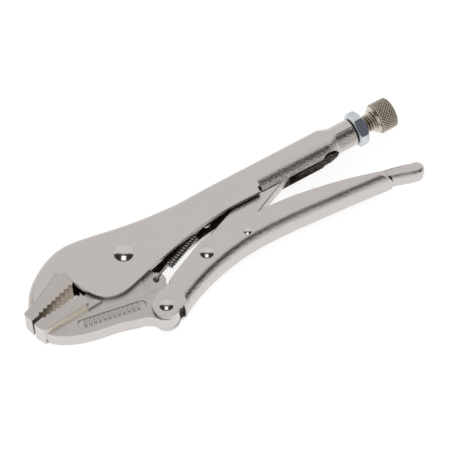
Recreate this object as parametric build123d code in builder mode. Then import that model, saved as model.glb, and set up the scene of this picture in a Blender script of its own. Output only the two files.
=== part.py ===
from build123d import *
import os
from math import cos, radians, sin

os.makedirs("parts", exist_ok=True)

# Locking pliers of the 230 mm class, lying on their side. Lengths are in millimetres.
# Every outline is measured from the main rivet: x runs from the jaws to the knob along the
# adjusting screw, y towards the back of the upper handle, and heights from the middle plane.
PIVOT = Vector(-54.118, 12.086, 9.9)  # main rivet's centre in the part's own frame

# Sheet steel of the two handles
UPPER_HALF = 8.2
UPPER_SHEET = 2.6
UPPER_INNER = UPPER_HALF - UPPER_SHEET
LOWER_HALF = 8.0
LOWER_SHEET = 2.4
LOWER_INNER = LOWER_HALF - LOWER_SHEET
BACK_Y = 12.6
UPPER_CORNER = 4.0
LOWER_CORNER = 5.2
CHEEK_END = 82.0

# Forged jaws, toggle link and release lever
JAW_HALF = 8.25
BLOCK_HALF = 8.2
WEB_HALF = 5.3
TONGUE_HALF = 5.55
LINK_HALF = 4.3
LEVER_HALF = 5.3
LEVER_SHEET = 1.5

# Hinges, from the main rivet
JAW_HINGE = (0.0, 0.0)
HANDLE_HINGE = (4.0, -37.5)
LINK_HINGE = (37.5, -22.0)
LEVER_HINGE = (62.3, -22.1)
LINK_TIP = (97.5, 2.6)
MAIN_SHANK = 4.0
HANDLE_SHANK = 3.2
LINK_SHANK = 3.0
LEVER_SHANK = 1.6
RUNNING = 0.05

# Adjusting screw, M10 with a pitch of 1.5, on the barrel's axis
SCREW_Y = 4.7
SCREW_R = 4.95
BORE_R = SCREW_R + 0.07
BARREL_R = 7.5
CURL_END = 126.5
BARREL_START = 132.5
BARREL_END = 144.4
NUT_START = 144.8
NUT_THICKNESS = 6.0
NUT_FLATS = 17.0
SCREW_TIP = 107.4
KNOB_START = 157.8
KNOB_END = 169.6
KNOB_R = 8.7
SPIGOT_R = 3.0

# Spring that opens the jaws
LUG_HOLE = (7.5, -20.75)
ANCHOR_HOLE = (48.0, -3.6)
SPRING_R = 2.35
WIRE_R = 0.5


def level(height):
    """A level plane, with its origin on the main rivet's axis."""
    return Plane(origin=PIVOT + Vector(0, 0, height), x_dir=(1, 0, 0), z_dir=(0, 0, 1))


def station(x, y=0.0):
    """A plane across the tool at x: its own x runs along y, and its own y runs up."""
    return Plane(origin=PIVOT + Vector(x, y, 0), x_dir=(0, 1, 0), z_dir=(1, 0, 0))


def screw_axis():
    return Axis(PIVOT + Vector(0, SCREW_Y, 0), (1, 0, 0))


def at_height(part, half):
    """The edges that lie on the two side faces, half a thickness from the middle plane."""
    return part.edges().filter_by(lambda e: abs(abs(e.center().Z - PIVOT.Z) - half) < 0.01)


def hinge_hole(centre, radius):
    """A round hole's sketch on the middle plane."""
    with BuildSketch() as hole:
        with Locations(centre):
            Circle(radius)
    return hole.sketch


# ---------------------------------------------------------------- outlines that pieces share

SEAM = [(-58.4, -3.2), (-52.0, -0.9), (-43.5, 3.2), (-37.2, 7.0)]
SEAM_TURN = (-33.6, 6.2)
SEAM_END = (-31.0, -1.0)


UPPER_BACK = [(-62.5, -14.0), SEAM[0], (-52.8, 6.4), (-43.4, 14.2), (-33.0, 19.2), (-25.0, 20.6),
              (-14.0, 19.6), (2.0, 16.5), (20.0, 13.7), (40.0, 12.3), (62.0, BACK_Y)]
UPPER_BACK_ENDS = [(0.35, 0.94), (1, 0)]
BACK_SLOPE = (-34.9 + 33.0) / (146.0 - 128.0)
LOWER_BACK = [(128.0, -33.0), (108.0, -31.3), (91.0, -29.9), (75.0, -29.1), (60.0, -29.4),
              (50.0, -30.6), (38.0, -33.2), (25.0, -37.4), (12.5, -43.4)]
LOWER_BACK_ENDS = [(-1, -BACK_SLOPE), (-0.85, -0.53)]


def inside(points, ends, sheet):
    """Points on the inner face of a bent sheet, whose outer face is a spline."""
    with BuildLine(mode=Mode.PRIVATE):
        outer = Spline(*points, tangents=ends)
    steps = 2 * len(points)
    inner = []
    for i in range(steps + 1):
        way = outer % (i / steps)
        inner.append(outer @ (i / steps) + sheet * Vector(way.Y, -way.X))
    return inner


def upper_outline(end_x):
    """The upper handle seen from its side, from the nose to end_x."""
    with BuildSketch() as outline:
        with BuildLine():
            back = Spline(*UPPER_BACK, tangents=UPPER_BACK_ENDS)
            rear = Polyline(back @ 1, (end_x, BACK_Y), (end_x, -5.4), (64.0, -5.2))
            belly = Spline(rear @ 1, (46.0, -6.7), (29.0, -9.8), (12.0, -14.0), (-2.0, -17.8))
            ear = Spline(belly @ 1, (-10.0, -19.6), (-17.2, -18.9), (-22.6, -16.0),
                         tangents=[belly % 1, (-0.72, 0.69)])
            throat = Spline(ear @ 1, (-27.4, -9.4), (-30.2, -3.2), SEAM_END,
                            tangents=[ear % 1, (-0.2, 0.98)])
            Polyline(throat @ 1, (-31.0, -14.0), back @ 0)
        make_face()
    return outline.sketch


def lower_outline(end_x):
    """The lower handle seen from its side. Both edges run on straight to end_x."""
    slope_top = (-29.0 + 23.6) / (146.0 - 128.0)
    with BuildSketch() as outline:
        with BuildLine():
            top = Spline((10.6, -27.2), (29.5, -18.3), (37.0, -15.3), (46.0, -13.9), (60.0, -14.4),
                         (85.0, -15.4), (108.0, -18.9), (128.0, -23.6),
                         tangents=[(0.85, 0.53), (1, slope_top)])
            tip = Line(top @ 1, (end_x, -23.6 + slope_top * (end_x - 128.0)))
            close = Line(tip @ 1, (end_x, -33.0 + BACK_SLOPE * (end_x - 128.0)))
            Line(close @ 1, LOWER_BACK[0])
            back = Spline(*LOWER_BACK, tangents=LOWER_BACK_ENDS)
            Polyline(back @ 1, back @ 1 + 9 * (back % 1), (4.9, -32.0), top @ 0)
        make_face()
    return outline.sketch


def lower_front():
    """The two cheeks' round front end, about the hinge to the movable jaw."""
    hx, hy = HANDLE_HINGE
    with BuildSketch() as front:
        with Locations(HANDLE_HINGE):
            Circle(7.3)
        with BuildLine():
            Polyline((hx - 2.6, hy + 6.82), (10.6, -27.2), (16.0, -30.0), (14.0, -41.6),
                     (hx + 5.4, hy - 4.9), close=True)
        make_face()
    return front.sketch


def barrel_section(half, back, round_y, corner):
    """The rolled channel's closed section: flat back, flat sides and a half-round underside."""
    with BuildSketch() as section:
        with BuildLine():
            top = Line((back, -(half - corner)), (back, half - corner))
            RadiusArc(top @ 1, (back - corner, half), -corner)
            side = Line((back - corner, half), (round_y, half))
            under = ThreePointArc(side @ 1, (round_y - half, 0), (round_y, -half))
            near = Line(under @ 1, (back - corner, -half))
            RadiusArc(near @ 1, top @ 0, -corner)
        make_face()
    return section.sketch


def barrel_ring(radius):
    """The barrel's circle, cut into arcs that meet the rolled section's own corners."""
    marks = (-28, 28, 62, 90, 180, 270, 298, 332)
    points = [(SCREW_Y + radius * cos(radians(a)), radius * sin(radians(a))) for a in marks]
    middle = [(SCREW_Y + radius * cos(radians(a)), radius * sin(radians(a))) for a in (0, 45, 76)]
    with BuildSketch() as ring:
        with BuildLine():
            ThreePointArc(points[0], middle[0], points[1])
            ThreePointArc(points[1], middle[1], points[2])
            ThreePointArc(points[2], middle[2], points[3])
            ThreePointArc(points[3], points[4], points[5])
            ThreePointArc(points[5], (middle[2][0], -middle[2][1]), points[6])
            ThreePointArc(points[6], (middle[1][0], -middle[1][1]), points[7])
        make_face()
    return ring.sketch


# ---------------------------------------------------------------- upper handle

# A pressed steel channel: its front wraps the fixed jaw, its rear rolls in under the screw
# and closes into the round barrel that the screw is threaded through.
with BuildPart() as upper_handle:
    with BuildSketch(level(0)):
        add(upper_outline(CHEEK_END))
    extrude(amount=UPPER_HALF, both=True)
    back_edges = at_height(upper_handle, UPPER_HALF).filter_by(lambda e: e.center().Y - PIVOT.Y > 8)
    fillet(back_edges, UPPER_CORNER)
    with BuildSketch(level(0)):
        with BuildLine():
            hollow = Spline(*inside(UPPER_BACK, UPPER_BACK_ENDS, UPPER_SHEET))
            Polyline(hollow @ 1, (CHEEK_END + 2, BACK_Y - UPPER_SHEET), (CHEEK_END + 2, -30.0),
                     (-58.0, -30.0), hollow @ 0)
        make_face()
    extrude(amount=UPPER_INNER, both=True, mode=Mode.SUBTRACT)

    # the mouth that the fixed jaw is welded into
    with BuildSketch(level(0)):
        with BuildLine():
            weld = Spline(SEAM_END, SEAM_TURN, SEAM[3], tangents=[(-0.2, 0.98), (-0.85, -0.53)])
            Polyline(weld @ 1, SEAM[2], SEAM[1], SEAM[0], (-66.0, -6.4), (-66.0, -16.0), (-31.0, -16.0),
                     SEAM_END)
        make_face()
    extrude(amount=UPPER_HALF + 1, both=True, mode=Mode.SUBTRACT)

    # rolled rear and barrel
    with BuildSketch(station(CHEEK_END)):
        add(barrel_section(UPPER_HALF, BACK_Y, 2.3, UPPER_CORNER))
    extrude(amount=CURL_END - CHEEK_END)
    with BuildSketch(station(CURL_END)):
        add(barrel_section(UPPER_HALF, BACK_Y, 2.3, UPPER_CORNER))
    with BuildSketch(station(BARREL_START)):
        add(barrel_ring(BARREL_R))
    loft()
    with BuildSketch(station(BARREL_START, SCREW_Y)):
        Circle(BARREL_R)
    extrude(amount=BARREL_END - BARREL_START)
    end_edges = upper_handle.edges().filter_by(
        lambda e: abs(e.center().X - PIVOT.X - BARREL_END) < 0.01)
    chamfer(end_edges, 0.5)

    # the hollow for the link and the screw
    with BuildSketch(station(CHEEK_END - 0.5)):
        add(barrel_section(UPPER_INNER, BACK_Y - UPPER_SHEET, 2.3, 1.4))
    extrude(amount=CURL_END - CHEEK_END + 0.5, mode=Mode.SUBTRACT)
    with BuildSketch(station(CURL_END)):
        add(barrel_section(UPPER_INNER, BACK_Y - UPPER_SHEET, 2.3, 1.4))
    with BuildSketch(station(BARREL_START)):
        add(barrel_ring(BORE_R))
    loft(mode=Mode.SUBTRACT)
    with BuildSketch(station(BARREL_START - 1, SCREW_Y)):
        Circle(BORE_R)
    extrude(amount=BARREL_END - BARREL_START + 2, mode=Mode.SUBTRACT)

    # the slot between the rolled lips, round at its end
    slot_plane = Plane(origin=PIVOT + Vector(0, -12, 0), x_dir=(1, 0, 0), z_dir=(0, 1, 0))
    with BuildSketch(slot_plane):
        with Locations((101.4, 0)):
            SlotOverall(60.0, 9.4)
        with Locations((124.8, 0)):
            Circle(6.3)
        with Locations((84.0, 0)):
            Rectangle(26.0, 9.4)
    extrude(amount=12.6, mode=Mode.SUBTRACT)

    # relief notches where the straight cheeks end and the rolled lips begin
    with BuildSketch(level(0)):
        with Locations((81.4, -6.0)):
            RectangleRounded(2.2, 8.0, 1.0)
    extrude(amount=UPPER_HALF + 1, both=True, mode=Mode.SUBTRACT)

    # the rolled sheet's closing seam along the barrel
    seam_tilt = Plane(origin=PIVOT + Vector(0, SCREW_Y, 0), x_dir=(1, 0, 0),
                      z_dir=(0, -sin(radians(8)), cos(radians(8))))
    with BuildSketch(seam_tilt.offset(BARREL_R - 0.45)):
        with Locations((138.9, 0)):
            Rectangle(10.6, 0.4)
    extrude(amount=1.5, mode=Mode.SUBTRACT)

    # lanced tab that holds the spring's rear hook
    with BuildSketch(level(0)):
        with BuildLine():
            Polyline((45.6, -3.2), (45.6, 10.4), (50.4, 10.4), (50.4, -3.2))
            RadiusArc((50.4, -3.2), (45.6, -3.2), 2.4)
        make_face()
        with Locations(ANCHOR_HOLE):
            Circle(1.0, mode=Mode.SUBTRACT)
    extrude(amount=0.9, both=True)

    with BuildSketch(level(0)):
        add(hinge_hole(JAW_HINGE, MAIN_SHANK + 0.02))
    extrude(amount=UPPER_HALF + 1, both=True, mode=Mode.SUBTRACT)

upper_handle.part.label = "upper_handle"
export_step(upper_handle.part, "parts/upper_handle.step")

# ---------------------------------------------------------------- fixed jaw

# A forged insert welded into the upper handle: a full-width nose and tooth row, with a tongue
# that fills the channel behind them.
UPPER_PITCH = 3.03
UPPER_RISE = 16.2
UPPER_TEETH = 8
TOOTH_DEPTH = 1.3


def tooth_row(start, rise, pitch, count, depth, side):
    """Root and tip points of a row of teeth, whose tips stand to one side of the root line."""
    u = Vector(cos(radians(rise)), sin(radians(rise)))
    n = Vector(-u.Y, u.X) * side
    points = []
    for i in range(count):
        root = Vector(*start) + u * (pitch * i)
        tip = root + u * (pitch / 2) + n * depth
        points += [(root.X, root.Y), (tip.X, tip.Y)]
    return points


with BuildPart() as fixed_jaw:
    with BuildSketch(level(0)):
        with BuildLine():
            teeth = tooth_row((-54.4, -7.7), UPPER_RISE, UPPER_PITCH, UPPER_TEETH, TOOTH_DEPTH, -1)
            Polyline((-61.5, -4.3), (-60.0, -10.2), (-55.2, -9.2), *teeth, (-31.1, -1.6), SEAM_END)
            weld = Spline(SEAM_END, SEAM_TURN, SEAM[3], tangents=[(-0.2, 0.98), (-0.85, -0.53)])
            Polyline(weld @ 1, SEAM[2], SEAM[1], SEAM[0], (-61.5, -4.3))
        make_face()
    extrude(amount=JAW_HALF, both=True)
    nose = fixed_jaw.edges().filter_by(Axis.Z).group_by(Axis.X)[0]
    fillet(nose, 0.7)
    with BuildSketch(level(0)):
        Polygon((-55.4, -2.6), (-53.2, 0.4), (-48.2, 6.6), (-42.0, 10.9), (-35.5, 13.2), (-32.0, 11.0),
                (-31.4, -0.6), (-40.0, 0.0), align=None)
    extrude(amount=TONGUE_HALF, both=True)
fixed_jaw.part.label = "fixed_jaw"
export_step(fixed_jaw.part, "parts/fixed_jaw.step")

# ---------------------------------------------------------------- movable jaw

# One forging: a full-width nose and tooth block, a bevel down to a thinner web that swings
# between the cheeks, a lug for the spring, and a marked panel of short ribs on each side.
LOWER_PITCH = 3.0
LOWER_RISE = 5.3
LOWER_TEETH = 7
BEVEL_DROP = BLOCK_HALF - WEB_HALF
PANEL_CENTRE = (-22.1, -26.6)
PANEL_TILT = -11.0
PANEL_DEPTH = 0.6
EYE_R = 9.2

with BuildPart() as movable_jaw:
    with BuildSketch(level(0)) as web:
        with BuildLine():
            under = Spline((-56.2, -19.2), (-50.0, -24.6), (-42.0, -28.4), (-30.0, -31.5),
                           (-20.0, -33.5), (-11.5, -36.2), (-3.2, -41.0),
                           tangents=[(0.6, -0.8), (0.66, -0.75)])
            ThreePointArc((-3.2, -41.0), (4.4, -44.7), (11.2, -35.0))
            lug = Spline((11.2, -35.0), (8.9, -28.2), (12.2, -22.4), (10.4, -17.6), (8.2, -12.6),
                         tangents=[(-0.31, 0.95), (0.1, 1)])
            Line(lug @ 1, (EYE_R, 0))
            ThreePointArc((EYE_R, 0), (0, EYE_R), (-EYE_R, 0))
            Polyline((-EYE_R, 0), (-16.0, -7.0), (-30.5, -10.0), (-56.2, -15.0), (-56.2, -19.2))
        make_face()
    extrude(amount=WEB_HALF, both=True)
    # full-width nose and tooth block
    with BuildSketch(level(0)):
        with BuildLine():
            teeth = tooth_row((-52.8, -12.1), LOWER_RISE, LOWER_PITCH, LOWER_TEETH, TOOTH_DEPTH, 1)
            Polyline((-57.5, -17.7), (-59.8, -12.3), (-55.0, -11.2), (-54.3, -11.0), *teeth,
                     (-31.6, -10.2), (-30.9, -8.4), (-30.6, -10.2), (-29.4, -13.0), (-30.0, -15.8),
                     (-31.3, -16.3), (-55.6, -18.3), close=True)
        make_face()
    extrude(amount=BLOCK_HALF, both=True)

    # bevel from the block down to the web
    for side in (1, -1):
        with BuildSketch(level(side * BLOCK_HALF)):
            Polygon((-57.5, -17.7), (-55.6, -18.3), (-31.3, -16.3), (-30.6, -12.0), (-56.5, -14.0),
                    align=None)
        with BuildSketch(level(side * (WEB_HALF - 0.6))):
            Polygon((-56.6, -19.2), (-54.9, -19.9), (-30.8, -19.0), (-30.0, -12.0), (-56.2, -14.0),
                    align=None)
        loft()

    # step beside the block, above the web and below the block's own face
    with BuildSketch(level(0)):
        Polygon((-31.5, -18.4), (-23.0, -17.9), (-24.6, -16.2), (-29.6, -11.6), (-32.0, -12.5),
                align=None)
    extrude(amount=WEB_HALF + 1.5, both=True)

    # thinner lug for the spring's front hook
    for side in (1, -1):
        with BuildSketch(level(side * WEB_HALF)):
            with BuildLine():
                Polyline((0.4, -13.5), (0.8, -26.2), (7.0, -26.4), (8.4, -27.2), (15.0, -27.2), (15.0, -13.5),
                         close=True)
            make_face()
        extrude(amount=-side * 0.7, mode=Mode.SUBTRACT)
    with BuildSketch(level(0)):
        add(hinge_hole(LUG_HOLE, 1.6))
        add(hinge_hole(JAW_HINGE, MAIN_SHANK + RUNNING))
        add(hinge_hole(HANDLE_HINGE, HANDLE_SHANK + RUNNING))
    extrude(amount=BLOCK_HALF + 1, both=True, mode=Mode.SUBTRACT)

    # sunk panel with plain slanted ribs
    for side in (1, -1):
        with BuildSketch(level(side * WEB_HALF)):
            with Locations(Location((*PANEL_CENTRE, 0), (0, 0, PANEL_TILT))):
                SlotOverall(37.0, 5.0)
                with GridLocations(2.6, 0, 12, 1):
                    Rectangle(1.1, 3.0, rotation=-14, mode=Mode.SUBTRACT)
        extrude(amount=-side * PANEL_DEPTH, mode=Mode.SUBTRACT)
movable_jaw.part.label = "movable_jaw"
export_step(movable_jaw.part, "parts/movable_jaw.step")

# ---------------------------------------------------------------- lower handle

with BuildPart() as lower_handle:
    with BuildSketch(level(0)):
        add(lower_outline(145.2))
    extrude(amount=LOWER_HALF, both=True)
    back_edges = at_height(lower_handle, LOWER_HALF).filter_by(
        lambda e: e.center().Y - PIVOT.Y < -28 and e.center().X - PIVOT.X > 30)
    fillet(back_edges, LOWER_CORNER)
    with BuildSketch(level(0)):
        with Locations((2.0, -38.0)):
            Rectangle(20.0, 40.0)
    extrude(amount=LOWER_HALF + 1, both=True, mode=Mode.SUBTRACT)
    with BuildSketch(level(0)):
        add(lower_front())
    extrude(amount=LOWER_HALF, both=True)
    with BuildSketch(level(0)):
        with BuildLine():
            hollow = Spline(*inside(LOWER_BACK, LOWER_BACK_ENDS, LOWER_SHEET))
            rear = hollow @ 0
            Polyline(hollow @ 1, hollow @ 1 + Vector(-6.0, 0), (6.0, 0.0), (160.0, 0.0),
                     rear + 32 * Vector(1, BACK_SLOPE), rear)
        make_face()
        with Locations((0.0, -37.0)):
            Rectangle(24.0, 30.0)
    extrude(amount=LOWER_INNER, both=True, mode=Mode.SUBTRACT)
    with BuildSketch(level(0)):
        add(hinge_hole(HANDLE_HINGE, HANDLE_SHANK + 0.02))
        add(hinge_hole(LINK_HINGE, LINK_SHANK + 0.02))
        add(hinge_hole(LEVER_HINGE, LEVER_SHANK + 0.02))
    extrude(amount=LOWER_HALF + 1, both=True, mode=Mode.SUBTRACT)
lower_handle.part.label = "lower_handle"
export_step(lower_handle.part, "parts/lower_handle.step")

# ---------------------------------------------------------------- toggle link

# A flat forged bar: round about its rivet, and round where it bears on the screw's tip.
LINK_ROOT_R = 6.4
LINK_TIP_R = 5.6
LINK_BOSS = LOWER_INNER - 0.15

with BuildPart() as toggle_link:
    with BuildSketch(level(0)):
        with BuildLine():
            along = (Vector(*LINK_TIP) - Vector(*LINK_HINGE)).normalized()
            across = Vector(-along.Y, along.X)
            root = Vector(*LINK_HINGE)
            tip = Vector(*LINK_TIP)
            Polyline(root + across * LINK_ROOT_R, tip + across * LINK_TIP_R,
                     tip - across * LINK_TIP_R, root - across * LINK_ROOT_R, close=True)
        make_face()
        add(hinge_hole(LINK_HINGE, LINK_ROOT_R))
        add(hinge_hole(LINK_TIP, LINK_TIP_R))
    extrude(amount=LINK_HALF, both=True)
    chamfer(at_height(toggle_link, LINK_HALF), 0.4)
    with BuildSketch(level(0)):
        add(hinge_hole(LINK_HINGE, 5.0))
    extrude(amount=LINK_BOSS, both=True)
    with BuildSketch(level(0)):
        add(hinge_hole(LINK_HINGE, LINK_SHANK + RUNNING))
    extrude(amount=LOWER_HALF, both=True, mode=Mode.SUBTRACT)
toggle_link.part.label = "toggle_link"
export_step(toggle_link.part, "parts/toggle_link.step")

# ---------------------------------------------------------------- release lever

# A small channel nested in the lower handle. Its tail stands out behind, and its hump comes
# up under the link and pushes the toggle off its dead centre.
TAIL_FRONT = 141.0
TAIL_START = 145.6
TAIL_CORNER = 2.6

with BuildPart() as release_lever:
    # the tail, rounded all the way round, and relieved where the handle's back covers it
    with BuildSketch(level(0)):
        with BuildLine():
            top = Spline((134.0, -24.6), (147.0, -26.5), (160.6, -30.2),
                         tangents=[(1, -0.15), (0.95, -0.31)])
            tip = ThreePointArc(top @ 1, (164.6, -35.8), (159.9, -38.4))
            sole = Spline(tip @ 1, (147.0, -34.4), (134.0, -31.6), tangents=[tip % 1, (-1, 0.25)])
            Line(sole @ 1, top @ 0)
        make_face()
    extrude(amount=LEVER_HALF, both=True)
    round_edges = at_height(release_lever, LEVER_HALF).filter_by(
        lambda e: e.center().X - PIVOT.X > 134.1)
    fillet(round_edges, TAIL_CORNER)
    with BuildSketch(level(0)):
        Polygon((130.0, -20.0), (TAIL_FRONT, -20.0), (TAIL_FRONT, -30.9), (TAIL_START, -31.3),
                (TAIL_START, -40.0), (130.0, -40.0), align=None)
    extrude(amount=LEVER_HALF + 1, both=True, mode=Mode.SUBTRACT)

    # the bar inside the handle, with the hump that lifts the link
    with BuildSketch(level(0)):
        with BuildLine():
            hump = Spline((62.8, -19.35), (67.5, -17.6), (72.0, -16.1), (77.0, -17.6), (84.0, -19.4),
                          tangents=[(1, 0.3), (1, -0.22)])
            crest = Spline(hump @ 1, (110.0, -22.6), (134.0, -25.3), (TAIL_FRONT + 0.5, -26.5),
                           tangents=[hump % 1, (1, -0.16)])
            heel = Line(crest @ 1, (TAIL_FRONT + 0.5, -30.7))
            under = Spline(heel @ 1, (128.0, -29.6), (108.0, -27.9), (90.0, -26.4), (75.0, -25.5),
                           (62.6, -24.9), tangents=[(-1, 0.07), (-1, 0.02)])
            ThreePointArc(under @ 1, (59.5, -22.2), hump @ 0)
        make_face()
    extrude(amount=LEVER_HALF, both=True)
    with BuildSketch(level(0)):
        with BuildLine():
            floor = Spline((52.0, -23.4), (75.0, -23.9), (108.0, -26.3), (134.0, -28.3), (146.0, -29.8))
            scoop = Spline(floor @ 1, (151.0, -32.6), (159.5, -35.0), tangents=[(1, -0.2), (0.97, -0.24)])
            Polyline(scoop @ 1, (160.5, -24.0), (52.0, -12.0), floor @ 0)
        make_face()
    extrude(amount=LEVER_HALF - LEVER_SHEET, both=True, mode=Mode.SUBTRACT)
    with BuildSketch(level(0)):
        add(hinge_hole(LEVER_HINGE, LEVER_SHANK + RUNNING))
    extrude(amount=LOWER_HALF, both=True, mode=Mode.SUBTRACT)
release_lever.part.label = "release_lever"
export_step(release_lever.part, "parts/release_lever.step")

# ---------------------------------------------------------------- rivets


def rivet(centre, shank, head, dome, half_grip):
    """A headed pin through the tool, with a low domed head on each side."""
    sphere = (head ** 2 + dome ** 2) / (2 * dome)
    shoulder = (head * 0.72, half_grip + dome - sphere + (sphere ** 2 - (head * 0.72) ** 2) ** 0.5)
    side_plane = Plane(origin=PIVOT + Vector(*centre, 0), x_dir=(1, 0, 0), z_dir=(0, -1, 0))
    with BuildPart() as pin:
        with BuildSketch(side_plane):
            with BuildLine():
                Polyline((0, 0), (shank, 0), (shank, half_grip), (head, half_grip))
                ThreePointArc((head, half_grip), shoulder, (0, half_grip + dome))
                Line((0, half_grip + dome), (0, 0))
            make_face()
        revolve(axis=Axis(PIVOT + Vector(*centre, 0), (0, 0, 1)))
        mirror(about=level(0))
    return pin.part


RIVETS = {
    "main_rivet": (JAW_HINGE, MAIN_SHANK, 5.4, 1.7, UPPER_HALF),
    "handle_rivet": (HANDLE_HINGE, HANDLE_SHANK, 3.9, 1.3, LOWER_HALF),
    "link_rivet": (LINK_HINGE, LINK_SHANK, 3.9, 1.3, LOWER_HALF),
    "lever_rivet": (LEVER_HINGE, LEVER_SHANK, 2.25, 0.6, LOWER_HALF),
}
for name, sizes in RIVETS.items():
    pin = rivet(*sizes)
    pin.label = name
    export_step(pin, f"parts/{name}.step")

# ---------------------------------------------------------------- adjusting screw and nut

with BuildPart() as adjusting_screw:
    with BuildSketch(station(SCREW_TIP, SCREW_Y)):
        Circle(SCREW_R)
    extrude(amount=KNOB_START - SCREW_TIP)
    chamfer(adjusting_screw.edges().group_by(Axis.X)[0], 1.6)
    with BuildSketch(station(KNOB_START, SCREW_Y)):
        Circle(SPIGOT_R)
    extrude(amount=8.0)
adjusting_screw.part.label = "adjusting_screw"
export_step(adjusting_screw.part, "parts/adjusting_screw.step")

with BuildPart() as screw_knob:
    with BuildSketch(Plane(origin=PIVOT + Vector(0, SCREW_Y, 0), x_dir=(1, 0, 0), z_dir=(0, 0, 1))):
        Polygon((KNOB_START, SPIGOT_R + RUNNING), (KNOB_START, 6.0), (KNOB_START + 2.9, KNOB_R),
                (KNOB_END - 1.1, KNOB_R), (KNOB_END, KNOB_R - 1.1), (KNOB_END, 0),
                (KNOB_START + 8.3, 0), (KNOB_START + 8.3, SPIGOT_R + RUNNING), align=None)
    revolve(axis=screw_axis())
screw_knob.part.label = "screw_knob"
export_step(screw_knob.part, "parts/screw_knob.step")

with BuildPart() as lock_nut:
    with BuildSketch(station(NUT_START, SCREW_Y)):
        RegularPolygon(NUT_FLATS / 2, 6, major_radius=False, rotation=30)
        Circle(BORE_R, mode=Mode.SUBTRACT)
    extrude(amount=NUT_THICKNESS)
    # both ends turned to a cone that trims the corners
    with BuildSketch(Plane(origin=PIVOT + Vector(0, SCREW_Y, 0), x_dir=(1, 0, 0), z_dir=(0, 0, 1))):
        for end, way in ((NUT_START, 1), (NUT_START + NUT_THICKNESS, -1)):
            Polygon((end - way, 11.4), (end - way, 7.9), (end, 8.3), (end + 0.9 * way, 9.9),
                    (end + 0.9 * way, 11.4), align=None)
    revolve(axis=screw_axis(), mode=Mode.SUBTRACT)
lock_nut.part.label = "lock_nut"
export_step(lock_nut.part, "parts/lock_nut.step")

# ---------------------------------------------------------------- spring

# A close-wound tension spring between the jaw's lug and the tab in the upper handle. Its coil
# is one tube of the wire's outer and inner diameters; each end is a bent wire hook.
COIL_START = Vector(19.0, -16.6, 0)
COIL_END = Vector(40.0, -7.3, 0)

coil_way = (COIL_END - COIL_START).normalized()
coil_plane = Plane(origin=PIVOT + COIL_START, x_dir=(0, 0, 1), z_dir=coil_way)
lug_point = Vector(LUG_HOLE[0] + 0.3, LUG_HOLE[1] + 0.2, 0)
anchor_point = Vector(*ANCHOR_HOLE, 0)
wire_height = WEB_HALF - 0.7 + WIRE_R + 0.05

front_hook = [lug_point + Vector(0, 0, 2.0), lug_point + Vector(0, 0, wire_height),
              Vector(15.0, -18.2, wire_height), Vector(19.6, -16.3, 1.85)]
rear_hook = [Vector(39.4, -7.55, 1.8), anchor_point + Vector(-0.3, -0.1, 1.5),
             anchor_point + Vector(0.1, 0.05, -2.0)]

with BuildPart() as jaw_spring:
    with BuildSketch(coil_plane):
        Circle(SPRING_R)
        Circle(SPRING_R - 2 * WIRE_R, mode=Mode.SUBTRACT)
    extrude(amount=(COIL_END - COIL_START).length)
    for hook in (front_hook, rear_hook):
        for start, end in zip(hook, hook[1:]):
            with BuildSketch(Plane(origin=PIVOT + start, z_dir=end - start)):
                Circle(WIRE_R)
            extrude(amount=(end - start).length)
        for bend in hook[1:-1]:
            with Locations(PIVOT + bend):
                Sphere(WIRE_R * 1.04)
jaw_spring.part.label = "jaw_spring"
export_step(jaw_spring.part, "parts/jaw_spring.step")
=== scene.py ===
import math

import bpy
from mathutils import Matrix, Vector


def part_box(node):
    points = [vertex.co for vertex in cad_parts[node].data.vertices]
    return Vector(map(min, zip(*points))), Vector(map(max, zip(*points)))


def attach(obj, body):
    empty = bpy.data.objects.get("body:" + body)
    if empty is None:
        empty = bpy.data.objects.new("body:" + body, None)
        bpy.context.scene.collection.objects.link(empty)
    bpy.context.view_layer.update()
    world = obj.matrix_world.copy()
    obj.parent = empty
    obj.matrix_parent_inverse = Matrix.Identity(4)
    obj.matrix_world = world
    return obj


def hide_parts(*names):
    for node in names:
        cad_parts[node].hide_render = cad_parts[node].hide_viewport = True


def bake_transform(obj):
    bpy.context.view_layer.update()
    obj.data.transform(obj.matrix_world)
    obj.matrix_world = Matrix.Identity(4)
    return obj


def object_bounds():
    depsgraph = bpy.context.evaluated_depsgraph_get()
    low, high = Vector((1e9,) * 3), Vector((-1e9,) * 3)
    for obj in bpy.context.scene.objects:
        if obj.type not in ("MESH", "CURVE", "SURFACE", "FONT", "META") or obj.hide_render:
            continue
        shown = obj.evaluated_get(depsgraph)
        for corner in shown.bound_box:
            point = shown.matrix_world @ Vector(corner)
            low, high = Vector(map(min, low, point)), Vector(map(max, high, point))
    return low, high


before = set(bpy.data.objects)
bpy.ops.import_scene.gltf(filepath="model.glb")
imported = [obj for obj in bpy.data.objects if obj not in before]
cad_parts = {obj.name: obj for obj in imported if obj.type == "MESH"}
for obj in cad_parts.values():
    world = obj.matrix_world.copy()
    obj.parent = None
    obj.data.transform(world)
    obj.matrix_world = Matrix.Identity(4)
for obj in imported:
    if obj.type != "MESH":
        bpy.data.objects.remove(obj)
cad_box = [list(corner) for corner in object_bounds()]

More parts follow.
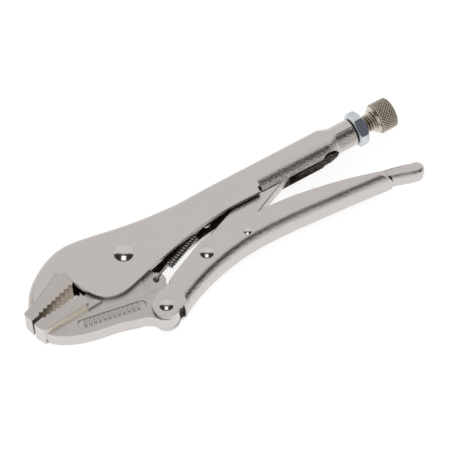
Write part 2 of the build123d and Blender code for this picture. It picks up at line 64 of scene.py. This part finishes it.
# Upper handle: one blank of sheet steel, pressed into a channel round the fixed jaw, rolled in behind and
# closed into the screw's barrel. Satin nickel plate over a fine tumbled grain, with painted shade in brown
# deep in its folds and along its creases.
mm = 0.001
rivet_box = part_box("main_rivet")
pivot = (Vector(rivet_box[0]) + Vector(rivet_box[1])) / 2
NICKEL = (0.635, 0.595, 0.578, 1)
CLOUDED_NICKEL = (0.57, 0.54, 0.512, 1)
PITTED_NICKEL = (0.42, 0.39, 0.355, 1)
WORN_NICKEL = (0.80, 0.785, 0.765, 1)
CREASE_SHADE_BROWN = (0.20, 0.155, 0.105, 1)
RECESS_SHADE_BROWN = (0.075, 0.056, 0.040, 1)
GRAIN_PER_METRE = 1150.0
PITS_PER_METRE = 900.0
CREASE_REACH = 1.1 * mm
SHEET_FOLD_REACH = 7 * mm
SHEET_EDGE_R = 0.5 * mm
SHEET_RELIEF = 0.36 * mm
FINE_RELIEF = 0.04 * mm


class Flow:
    """A value or a colour on its way through a finish: arithmetic on it adds Math nodes."""

    def __init__(self, finish, socket):
        self.finish = finish
        self.socket = socket

    def math(self, operation, first, second=0.0):
        return self.finish.node("ShaderNodeMath", {"operation": operation}, {0: first, 1: second})

    def __add__(self, other):
        return self.math("ADD", self, other)

    def __radd__(self, other):
        return self.math("ADD", other, self)

    def __sub__(self, other):
        return self.math("SUBTRACT", self, other)

    def __rsub__(self, other):
        return self.math("SUBTRACT", other, self)

    def __mul__(self, other):
        return self.math("MULTIPLY", self, other)

    def __rmul__(self, other):
        return self.math("MULTIPLY", other, self)

    def __abs__(self):
        return self.math("ABSOLUTE", self)


class Finish:
    """A surface finish, or the studio's sky: its nodes, and the shader that they end in."""

    def __init__(self, tree):
        self.tree = tree
        self.tree.nodes.clear()

    def node(self, kind, settings=None, inputs=None, out=0):
        made = self.tree.nodes.new(kind)
        for key, value in (settings or {}).items():
            setattr(made, key, value)
        for key, value in (inputs or {}).items():
            if isinstance(value, Flow):
                self.tree.links.new(value.socket, made.inputs[key])
            else:
                made.inputs[key].default_value = value
        return Flow(self, made.outputs[out]) if made.outputs else None

    def mix(self, amount, plain, other):
        settings = {"data_type": "RGBA"}
        return self.node("ShaderNodeMix", settings, {0: amount, 6: plain, 7: other}, out=2)

    def step(self, value, low, high):
        """0 below low, 1 above high, and smooth between them."""
        settings = {"interpolation_type": "SMOOTHSTEP"}
        return self.node("ShaderNodeMapRange", settings, {"Value": value, "From Min": low, "From Max": high})

    def place(self):
        return self.node("ShaderNodeTexCoord", out="Object")

    def facing(self):
        """The way the surface faces."""
        return self.node("ShaderNodeNewGeometry", out="Normal")

    def part(self, direction, axis):
        return self.node("ShaderNodeSeparateXYZ", {}, {0: direction}, out=axis)

    def dot(self, first, second):
        settings = {"operation": "DOT_PRODUCT"}
        return self.node("ShaderNodeVectorMath", settings, {0: first, 1: second}, out="Value")

    def stretch(self, place, factors):
        return self.node("ShaderNodeVectorMath", {"operation": "MULTIPLY"}, {0: place, 1: factors})

    def noise(self, place, scale, detail=2.0, rough=0.5):
        inputs = {"Vector": place, "Scale": scale, "Detail": detail, "Roughness": rough}
        return self.node("ShaderNodeTexNoise", {}, inputs)

    def shade(self, reach):
        """How closed in a spot is: 0 in the open, 1 deep in a fold."""
        inputs = {"Distance": reach}
        return 1.0 - self.node("ShaderNodeAmbientOcclusion", {"samples": 8}, inputs, out="AO")

    def eased(self, radius):
        """The way the surface faces once its sharp edges are rounded."""
        return self.node("ShaderNodeBevel", {"samples": 4}, {"Radius": radius})

    def edge(self, soft):
        """How near a sharp edge a spot is: there the eased direction leaves the true one."""
        return self.step(1.0 - self.dot(soft, self.facing()), 0.01, 0.12)

    def end(self, colour, roughness, height, normal, depth=FINE_RELIEF, strength=0.6):
        """Ends in bare metal, with the relief that the height gives."""
        inputs = {"Strength": strength, "Distance": depth, "Height": height, "Normal": normal}
        bump = self.node("ShaderNodeBump", {}, inputs)
        inputs = {"Base Color": colour, "Roughness": roughness, "Metallic": 1.0, "Normal": bump}
        shader = self.node("ShaderNodeBsdfPrincipled", {}, inputs)
        self.node("ShaderNodeOutputMaterial", {}, {"Surface": shader})


def new_finish(name):
    material = bpy.data.materials.new(name)
    material.use_nodes = True
    return material, Finish(material.node_tree)


def dress(node, material):
    """Gives a CAD node its finish."""
    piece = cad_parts[node]
    piece.data.materials.clear()
    piece.data.materials.append(material)


def pressed_nickel(name, fold_reach):
    """Plated sheet: smooth on its flats, and grainy where the press has bent it, with painted shade in brown
    in its folds and creases.
    """
    material, finish = new_finish(name)
    place = finish.place()
    cloud = finish.noise(place, 38.0, 3.0)
    grain = finish.noise(place, GRAIN_PER_METRE, 2.0, 0.6)
    pits = finish.step(finish.noise(place, PITS_PER_METRE, 1.0), 0.66, 0.74)
    soft = finish.eased(SHEET_EDGE_R)
    bend = 1.0 - finish.step(abs(finish.part(finish.facing(), "Z")), 0.80, 0.98)
    # Painted shade: brown deep in the folds, and a thin brown line in the creases, by how closed in each spot
    # is.
    fold_shade = finish.step(finish.shade(fold_reach), 0.30, 0.92)
    crease_shade = finish.step(finish.shade(CREASE_REACH), 0.22, 0.60)
    tone = finish.mix(cloud * 0.3 + grain * 0.3, NICKEL, CLOUDED_NICKEL)
    tone = finish.mix(pits * 0.25, tone, PITTED_NICKEL)
    tone = finish.mix(finish.edge(soft) * 0.5, tone, WORN_NICKEL)
    tone = finish.mix(crease_shade * 0.55, tone, CREASE_SHADE_BROWN)
    tone = finish.mix(fold_shade, tone, RECESS_SHADE_BROWN)
    roughness = 0.15 + grain * 0.07 + cloud * 0.04 + fold_shade * 0.3
    relief = (grain - 0.5) * (0.40 + bend * 0.75) + cloud * 0.2
    finish.end(tone, roughness, relief, soft, depth=SHEET_RELIEF, strength=0.9)
    return material


sheet_finish = pressed_nickel("satin_nickel_sheet", SHEET_FOLD_REACH)
dress("upper_handle", sheet_finish)

# Fixed jaw: a forging welded into the handle's mouth and ground flush with it. Its side faces carry fine
# grinding lines; the faces toward the mouth are brown, and its teeth and hollows darken further with painted
# shade.
PALE_NICKEL = (0.585, 0.55, 0.53, 1)
GROUND_GREY = (0.47, 0.44, 0.41, 1)
WARM_NICKEL = (0.50, 0.43, 0.32, 1)
TOOTH_BROWN = (0.31, 0.25, 0.18, 1)
SHADED_NICKEL = (0.24, 0.19, 0.125, 1)
JAW_FOLD_REACH = 6 * mm
FIXED_JAW_LINES = (1900.0, 260.0, 260.0)
FIXED_JAW_RIM = 0.35 * mm
BITES_DOWN = -1.0


def ground_nickel(name, lines_along, rim, bite_way):
    """Plated forging: ground on its sides, tan on its bevels and brown on its teeth, with painted shade in
    its folds and creases.
    """
    material, finish = new_finish(name)
    place = finish.place()
    way = finish.facing()
    flat = abs(finish.part(way, "Z"))
    bite = finish.step(bite_way * finish.part(way, "Y"), 0.15, 0.45)
    side = finish.step(flat, 0.90, 0.98)
    bevel = finish.step(1.0 - flat, 0.04, 0.20) * finish.step(flat, 0.15, 0.40)
    cloud = finish.noise(place, 55.0, 3.0)
    grain = finish.noise(place, GRAIN_PER_METRE, 2.0, 0.6)
    lines = side * finish.noise(finish.stretch(place, lines_along), 1.0, 3.0, 0.65)
    soft = finish.eased(rim)
    # Painted shade: the folds darken toward shaded nickel, and the creases toward brown, by how closed in
    # each spot is.
    fold_shade = finish.step(finish.shade(JAW_FOLD_REACH), 0.35, 0.95)
    crease_shade = finish.step(finish.shade(CREASE_REACH), 0.22, 0.60)
    tone = finish.mix(cloud * 0.5, NICKEL, PALE_NICKEL)
    tone = finish.mix(lines * 0.45, tone, GROUND_GREY)
    tone = finish.mix(bevel * 0.6, tone, WARM_NICKEL)
    tone = finish.mix(bite * (1.0 - bevel) * 0.92, tone, TOOTH_BROWN)
    # Painted shade: sloping faces in the folds, the teeth most, darken to tooth brown.
    tone = finish.mix((1.0 - flat) * finish.step(fold_shade, 0.0, 0.30) * 0.9, tone, TOOTH_BROWN)
    tone = finish.mix(finish.edge(soft) * 0.6, tone, WORN_NICKEL)
    tone = finish.mix(crease_shade * 0.6, tone, CREASE_SHADE_BROWN)
    tone = finish.mix(fold_shade * 0.6, tone, SHADED_NICKEL)
    roughness = 0.22 + grain * 0.08 + lines * 0.20 + fold_shade * 0.2
    finish.end(tone, roughness, grain * 0.6 + lines * 0.8 + cloud * 0.3, soft, strength=0.7)
    return material


dress("fixed_jaw", ground_nickel("ground_nickel_fixed_jaw", FIXED_JAW_LINES, FIXED_JAW_RIM, BITES_DOWN))

# Movable jaw: one drop forging, ground on its tooth block, with a bevel down to the thinner web
# that swings between the cheeks. A sunk panel of plain ribs is struck into each side.
MOVABLE_JAW_LINES = (2300.0, 160.0, 160.0)
MOVABLE_JAW_RIM = 0.8 * mm
BITES_UP = 1.0
dress("movable_jaw", ground_nickel("ground_nickel_movable_jaw", MOVABLE_JAW_LINES, MOVABLE_JAW_RIM, BITES_UP))

# Lower handle: a bent channel of the same pressed and plated sheet, hinged on the jaw's heel.
# It wears the upper handle's finish, because both were plated in one barrel.
dress("lower_handle", sheet_finish)

# Toggle link and release lever: the bar that locks the jaws and the lever that frees it, blanked from plate
# and sheet and plated with the handles. Their folds are shallower, so less painted shade.
INNER_FOLD_REACH = 5 * mm
inner_finish = pressed_nickel("satin_nickel_blanked", INNER_FOLD_REACH)
dress("toggle_link", inner_finish)
dress("release_lever", inner_finish)

# Rivets: headed pins, spun to low domes on both sides and plated bright. A thin ring of painted shade, brown,
# stands round each head, where it meets the handle.
RIVET_SIZES_MM = {
    "main_rivet": (5.4, 1.7),
    "handle_rivet": (3.9, 1.3),
    "link_rivet": (3.9, 1.3),
    "lever_rivet": (2.25, 0.6),
}
HEAD_SINK_MM = 0.05
SHANK_SHARE = 0.6
DOME_STEPS = 14
ROUND_STEPS = 96
DOME_NICKEL = (0.70, 0.68, 0.655, 1)
HAZED_NICKEL = (0.58, 0.55, 0.52, 1)
RIVET_SHADE_BROWN = (0.20, 0.14, 0.085, 1)
UP = Vector((0, 0, 1))
REARWARD = Vector((1, 0, 0))


def skinned(name, rings, material, sharp=40):
    """A closed skin over rings of points: quads between rings, and a face over each end."""
    count = len(rings[0])
    faces = [list(range(count))[::-1]]
    for i in range(len(rings) - 1):
        for j in range(count):
            k = (j + 1) % count
            faces.append((i * count + j, i * count + k, (i + 1) * count + k, (i + 1) * count + j))
    faces.append([(len(rings) - 1) * count + j for j in range(count)])
    mesh = bpy.data.meshes.new(name)
    mesh.from_pydata([point for ring in rings for point in ring], [], faces)
    mesh.shade_smooth()
    mesh.set_sharp_from_angle(angle=math.radians(sharp))
    mesh.materials.append(material)
    piece = bpy.data.objects.new(name, mesh)
    bpy.context.collection.objects.link(piece)
    return piece


def ring(centre, along, across, radius, steps=ROUND_STEPS):
    """Points on a circle about a centre, square to along, starting from across."""
    third = along.cross(across)
    turns = [2 * math.pi * j / steps for j in range(steps)]
    return [centre + radius * (math.cos(t) * across + math.sin(t) * third) for t in turns]


rivet_finish, finish = new_finish("bright_nickel_domes")
place = finish.place()
cloud = finish.noise(place, 420.0, 3.0)
grain = finish.noise(place, 3800.0, 2.0)
# Painted shade: a thin brown ring where each head meets the handle.
fold_shade = finish.step(finish.shade(0.9 * mm), 0.25, 0.8)
tone = finish.mix(cloud * 0.5, DOME_NICKEL, HAZED_NICKEL)
tone = finish.mix(fold_shade, tone, RIVET_SHADE_BROWN)
roughness = 0.11 + cloud * 0.07 + fold_shade * 0.3
finish.end(tone, roughness, grain * 0.5 + cloud, finish.eased(0.2 * mm), strength=0.35)

for node, (head, dome) in RIVET_SIZES_MM.items():
    low, high = (Vector(corner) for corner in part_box(node))
    centre = (low + high) / 2
    half = (high.z - low.z) / 2
    sphere = (head ** 2 + dome ** 2) / (2 * dome)
    outline = []
    for s in range(1, DOME_STEPS + 1):
        radius = head * s / DOME_STEPS
        outline.append((radius, half + ((sphere ** 2 - radius ** 2) ** 0.5 - sphere) * mm))
    sunk = half - dome * mm - HEAD_SINK_MM * mm
    outline += [(head, sunk), (head * SHANK_SHARE, sunk)]
    rings = []
    for side in (-1, 1):
        for radius, height in outline if side < 0 else outline[::-1]:
            rings.append(ring(centre + UP * side * height, UP, REARWARD, radius * mm))
    piece = skinned(f"{node}_domes", rings, rivet_finish, sharp=50)
    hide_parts(node)
    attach(piece, "upper_handle" if node == "main_rivet" else "lower_handle")

# Adjusting screw: M10 by 1.5, cut then plated, with its crests bright and painted shade in brown down its
# grooves and in its roots. The thread turns with the knob, so it rides on the knob's body.
screw_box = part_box("adjusting_screw")
knob_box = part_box("screw_knob")
screw_axis_y = (screw_box[0][1] + screw_box[1][1]) / 2
screw_axis_z = (screw_box[0][2] + screw_box[1][2]) / 2
thread_start = screw_box[0][0]
thread_end = knob_box[0][0]
PITCH = 1.5 * mm
THREAD_R = 4.92 * mm
THREAD_DEPTH = 1.05 * mm
CREST_SHARE = 0.12
FLANK_SHARE = 0.70
TIP_CHAMFER = 1.5 * mm
FLARE = 1.0 * mm
FLARE_LENGTH = 4.0 * mm
THREAD_STEPS = 12
THREAD_ROUND = 72
SCREW_NICKEL = (0.60, 0.565, 0.52, 1)
SCREW_TAN = (0.66, 0.60, 0.50, 1)
GROOVE_SHADE_BROWN = (0.20, 0.16, 0.115, 1)
ROOT_SHADE_BROWN = (0.13, 0.10, 0.07, 1)


def screw_steel(name, plain, core, crest):
    """Plated steel, bright out at the crest's radius and brown with painted shade at the core's. Nearer to
    the axis than the plain radius, an end face stays bright too."""
    material, finish = new_finish(name)
    place = finish.place()
    settings = {"operation": "SUBTRACT"}
    axis = (0.0, screw_axis_y, screw_axis_z)
    centred = finish.node("ShaderNodeVectorMath", settings, {0: place, 1: axis})
    radial = finish.stretch(centred, (0, 1, 1))
    radius = finish.node("ShaderNodeVectorMath", {"operation": "LENGTH"}, {0: radial}, out="Value")
    # Painted shade: brown in the grooves below the crest's radius, and darker brown deep in the roots.
    groove = finish.step(radius, plain - 0.1 * mm, plain) * (1.0 - finish.step(radius, core, crest))
    cloud = finish.noise(place, 160.0, 3.0)
    grain = finish.noise(place, 3200.0, 2.0)
    soft = finish.eased(0.12 * mm)
    root_shade = finish.step(finish.shade(0.8 * mm), 0.25, 0.62)
    tone = finish.mix(cloud, SCREW_NICKEL, SCREW_TAN)
    tone = finish.mix(groove, tone, GROOVE_SHADE_BROWN)
    tone = finish.mix(root_shade * 0.8, tone, ROOT_SHADE_BROWN)
    tone = finish.mix(finish.edge(soft) * 0.5, tone, WORN_NICKEL)
    finish.end(tone, 0.20 + grain * 0.10 + groove * 0.2, grain + cloud, soft, strength=0.4)
    return material


def round_screw(x, radius, turn):
    """The point at this share of a turn round the screw's axis."""
    angle = 2 * math.pi * turn
    return Vector((x, screw_axis_y + radius * math.cos(angle), screw_axis_z + radius * math.sin(angle)))


rings = []
count = int((thread_end - thread_start) / PITCH * THREAD_STEPS)
for i in range(count + 1):
    x = thread_start + (thread_end - thread_start) * i / count
    flare = FLARE * max(0.0, 1 - (thread_end - x) / FLARE_LENGTH)
    points = []
    for j in range(THREAD_ROUND):
        turn = j / THREAD_ROUND
        phase = (x / PITCH - turn) % 1.0
        flank = min(1.0, max(0.0, (abs(phase - 0.5) * 2 - CREST_SHARE) / FLANK_SHARE))
        radius = min(THREAD_R - THREAD_DEPTH * flank, THREAD_R - TIP_CHAMFER + (x - thread_start))
        points.append(round_screw(x, radius + flare, turn))
    rings.append(points)
thread_finish = screw_steel("plated_thread", 1.0 * mm, 4.1 * mm, 4.75 * mm)
thread = skinned("screw_thread", rings, thread_finish, sharp=75)
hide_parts("adjusting_screw")
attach(thread, "screw_knob")

# Knob: turned from bar, rolled with a diamond knurl and chamfered at both ends, then plated with
# the screw. The long chamfer on the handle's side is left smooth.
KNOB_R_MM = 8.7
KNURL_FROM_MM = 2.9
KNURL_LENGTH_MM = 7.9
KNURL_STEPS = 44
KNURLS_ROUND = 30
KNURL_DEPTH = 0.62 * mm
KNURL_ROUND = KNURLS_ROUND * 8
FRONT_PROFILE_MM = [(0.0, 4.3), (0.0, 6.8), (0.3, 7.1), (2.0, 8.5)]
REAR_PROFILE_MM = [(11.0, 8.45), (11.55, 7.9), (11.8, 7.4), (11.8, 6.0), (11.55, 5.6), (11.55, 1.0)]
knob_start = knob_box[0][0]
axial_knurl = 2 * math.pi * KNOB_R_MM * mm / KNURLS_ROUND
profile = FRONT_PROFILE_MM[:]
profile += [(KNURL_FROM_MM + KNURL_LENGTH_MM * s / KNURL_STEPS, KNOB_R_MM) for s in range(KNURL_STEPS + 1)]
profile += REAR_PROFILE_MM
rings = []
for x_mm, radius_mm in profile:
    knurled = radius_mm == KNOB_R_MM
    along = x_mm * mm / axial_knurl
    points = []
    for j in range(KNURL_ROUND):
        turn = j / KNURL_ROUND
        left = abs((turn * KNURLS_ROUND + along) % 1.0 - 0.5) * 2
        right = abs((turn * KNURLS_ROUND - along) % 1.0 - 0.5) * 2
        groove = max(left, right) ** 2 if knurled else 0.0
        points.append(round_screw(knob_start + x_mm * mm, radius_mm * mm - KNURL_DEPTH * groove, turn))
    rings.append(points)
# The knurl's grooves take the screw's painted shade, brown below the crests.
knob_finish = screw_steel("plated_knurl", 8.05 * mm, 8.2 * mm, 8.62 * mm)
knob = skinned("knurled_knob", rings, knob_finish, sharp=60)
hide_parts("screw_knob")
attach(knob, "screw_knob")

# Lock nut: a thin M10 nut, zinc plated. The passivation leaves it cool and faintly blue, in
# soft patches that vary from face to face.
ZINC = (0.66, 0.69, 0.72, 1)
PATCHED_ZINC = (0.54, 0.60, 0.68, 1)
DEEP_BLUE = (0.22, 0.27, 0.44, 1)
BRIGHT_ZINC = (0.82, 0.84, 0.87, 1)
BLUE_FACE_WAY = (0.0, -0.5, 0.866)
nut_finish, finish = new_finish("blue_zinc")
place = finish.place()
patches = finish.step(finish.noise(place, 420.0, 3.0, 0.6), 0.38, 0.62)
grain = finish.noise(place, 3000.0, 2.0)
blue_face = finish.step(finish.dot(finish.facing(), BLUE_FACE_WAY), 0.90, 0.97)
soft = finish.eased(0.4 * mm)
tone = finish.mix(patches * 0.6, ZINC, PATCHED_ZINC)
tone = finish.mix(blue_face * (0.25 + patches * 0.6), tone, DEEP_BLUE)
tone = finish.mix(finish.edge(soft) * 0.7, tone, BRIGHT_ZINC)
finish.end(tone, 0.30 + patches * 0.12 + grain * 0.08, grain + patches * 0.5, soft, strength=0.5)
dress("lock_nut", nut_finish)

# Spring: close-wound music wire between the jaw's lug and the tab inside the upper handle, greyed in patches
# by its oil and near black with painted shade between its turns, each end drawn out into a hook.
WIRE = 0.62 * mm
WIRE_ROUND = 10
WIRE_TURN = 0.01
COIL_R = 1.82 * mm
COIL_TURNS = 13
COIL_STEPS = 20
FRONT_HOOK_MM = [(0.0, 1.6), (0.0, 4.4), (0.5, 5.0)]
FRONT_SHANK_MM = [(0.2, 4.95), (0.4, 4.75), (0.6, 4.55), (0.8, 4.35)]
REAR_SHANK_MM = [(0.25, 1.85), (0.55, 1.85), (0.8, 1.85)]
REAR_HOOK_MM = [1.4, 0.6, -1.8]
WIRE_GREY = (0.55, 0.53, 0.505, 1)
OILED_GREY = (0.42, 0.39, 0.355, 1)
COIL_SHADE_BLACK = (0.05, 0.042, 0.035, 1)
lug = pivot + Vector((7.8, -20.55, 0.0)) * mm
coil_start = pivot + Vector((18.6, -15.0, 0.0)) * mm
coil_end = pivot + Vector((39.4, -6.6, 0.0)) * mm
anchor = pivot + Vector((48.0, -3.6, 0.0)) * mm
way_on = (coil_end - coil_start).normalized()
aside = way_on.cross(UP)

line = [lug + UP * rise * mm + way_on * ahead * mm for ahead, rise in FRONT_HOOK_MM]
line += [lug.lerp(coil_start, share) + UP * rise * mm for share, rise in FRONT_SHANK_MM]
for s in range(COIL_TURNS * COIL_STEPS + 1):
    angle = 2 * math.pi * s / COIL_STEPS
    lift = UP * math.cos(angle) + aside * math.sin(angle)
    line.append(coil_start.lerp(coil_end, s / (COIL_TURNS * COIL_STEPS)) + lift * COIL_R)
line += [coil_end.lerp(anchor, share) + UP * rise * mm for share, rise in REAR_SHANK_MM]
line += [anchor + UP * rise * mm for rise in REAR_HOOK_MM]
rings = []
across = UP.cross(aside + way_on * WIRE_TURN)
for i, point in enumerate(line):
    ahead = (line[min(i + 1, len(line) - 1)] - line[max(i - 1, 0)]).normalized()
    across = (across - ahead * ahead.dot(across)).normalized()
    rings.append(ring(point, ahead, across, WIRE, WIRE_ROUND))

spring_finish, finish = new_finish("oiled_spring_wire")
place = finish.place()
cloud = finish.noise(place, 300.0, 3.0)
grain = finish.noise(place, 4200.0, 2.0)
# Painted shade: near black where the turns close in on each other.
fold_shade = finish.step(finish.shade(1.5 * mm), 0.3, 0.9)
tone = finish.mix(cloud, WIRE_GREY, OILED_GREY)
tone = finish.mix(fold_shade, tone, COIL_SHADE_BLACK)
finish.end(tone, 0.22 + cloud * 0.12, grain, finish.eased(0.1 * mm), strength=0.3)
spring = skinned("tension_spring", rings, spring_finish, sharp=80)
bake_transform(spring)
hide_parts("jaw_spring")

# Floor: a sheet of white acrylic, lit from within, just under the rivet heads. It keeps the
# ground white and throws soft light up under the handles.
FLOOR_HALF = 3.0
FLOOR_GAP = 0.05 * mm
FLOOR_GREY = (0.36, 0.36, 0.36, 1)
FLOOR_GLOW = (0.84, 0.84, 0.84, 1)
FLOOR_BRIGHT = (0.86, 0.86, 0.86, 1)
floor_finish, finish = new_finish("lit_white_acrylic")
glow = finish.mix(finish.noise(finish.place(), 40.0, 2.0), FLOOR_GLOW, FLOOR_BRIGHT)
inputs = {"Base Color": FLOOR_GREY, "Roughness": 0.8, "Emission Color": glow, "Emission Strength": 1.0}
sheet = finish.node("ShaderNodeBsdfPrincipled", {}, inputs)
finish.node("ShaderNodeOutputMaterial", {}, {"Surface": sheet})
floor_z = cad_box[0][2] - FLOOR_GAP
corners = [(-FLOOR_HALF, -FLOOR_HALF, floor_z), (FLOOR_HALF, -FLOOR_HALF, floor_z),
           (FLOOR_HALF, FLOOR_HALF, floor_z), (-FLOOR_HALF, FLOOR_HALF, floor_z)]
floor_mesh = bpy.data.meshes.new("floor")
floor_mesh.from_pydata(corners, [], [(0, 1, 2, 3)])
floor_mesh.materials.append(floor_finish)
floor = bpy.data.objects.new("floor", floor_mesh)
bpy.context.collection.objects.link(floor)

# Studio: a bright room with one dark band high on the viewer's side, which the bends and domes
# pick up as dark streaks, and one soft box that puts a window in every dome.
VIEW_AZIMUTH = math.radians(-31.0)
DARK_WALL = (0.045, 0.042, 0.038, 1)
ROOM_LOW = (0.80, 0.79, 0.78, 1)
ROOM_HIGH = (0.86, 0.855, 0.85, 1)
BAND_STARTS = (math.radians(42.0), math.radians(54.0))
BAND_STOPS = (math.radians(92.0), math.radians(106.0))
BAND_BOW = 0.6
BAND_ENDS = (0.88, 0.99)
WINDOW_OUT = 0.43
WINDOW_HEIGHT = 1.33
WINDOW_SIZE = 0.70
WINDOW_WATTS = 2.4
toward = Vector((math.sin(VIEW_AZIMUTH), -math.cos(VIEW_AZIMUTH), 0))
sideways = Vector((toward.y, -toward.x, 0.0))

world = bpy.data.worlds.new("studio")
world.use_nodes = True
bpy.context.scene.world = world
sky = Finish(world.node_tree)
way = sky.node("ShaderNodeTexCoord", out="Generated")
rise = sky.part(way, "Z")
lateral = abs(sky.dot(way, tuple(sideways)))
round_up = sky.node("ShaderNodeMath", {"operation": "ARCTAN2"}, {0: rise, 1: sky.dot(way, tuple(toward))})
started = sky.step(round_up, *BAND_STARTS)
stopped = sky.step(round_up - lateral * lateral * BAND_BOW, *BAND_STOPS)
dark = (1.0 - stopped) * started * (1.0 - sky.step(lateral, *BAND_ENDS))
room = sky.mix(sky.step(rise, 0.0, 0.9), ROOM_LOW, ROOM_HIGH)
room = sky.mix(dark, room, DARK_WALL)
background = sky.node("ShaderNodeBackground", {}, {"Color": room, "Strength": 1.0})
sky.node("ShaderNodeOutputWorld", {}, {"Surface": background})

window_light = bpy.data.lights.new("window", "AREA")
window_light.shape = "SQUARE"
window_light.size = WINDOW_SIZE
window_light.energy = WINDOW_WATTS
window = bpy.data.objects.new("window", window_light)
window.location = pivot + toward * WINDOW_OUT + UP * WINDOW_HEIGHT
window.rotation_euler = (pivot - window.location).to_track_quat("-Z", "Y").to_euler()
bpy.context.collection.objects.link(window)

# Camera: a long lens from in front of the jaws and well above them, aimed at the middle of the
# tool. The long lens keeps the far end of the handles almost as large as the near one.
VIEW_ELEVATION = math.radians(61.5)
VIEW_DISTANCE = 1.164
LENS_MM = 176.0
SENSOR_MM = 36.0
FAR_CLIP = 20.0
AIM_MM = Vector((56.1, -9.3, 0.0))
camera_data = bpy.data.cameras.new("camera")
camera_data.lens = LENS_MM
camera_data.sensor_width = SENSOR_MM
camera_data.clip_end = FAR_CLIP
camera = bpy.data.objects.new("camera", camera_data)
back_off = toward * math.cos(VIEW_ELEVATION) + UP * math.sin(VIEW_ELEVATION)
camera.location = pivot + AIM_MM * mm + back_off * VIEW_DISTANCE
camera.rotation_euler = (-back_off).to_track_quat("-Z", "Y").to_euler()
bpy.context.collection.objects.link(camera)
bpy.context.scene.camera = camera
bpy.context.scene.view_settings.view_transform = "Standard"
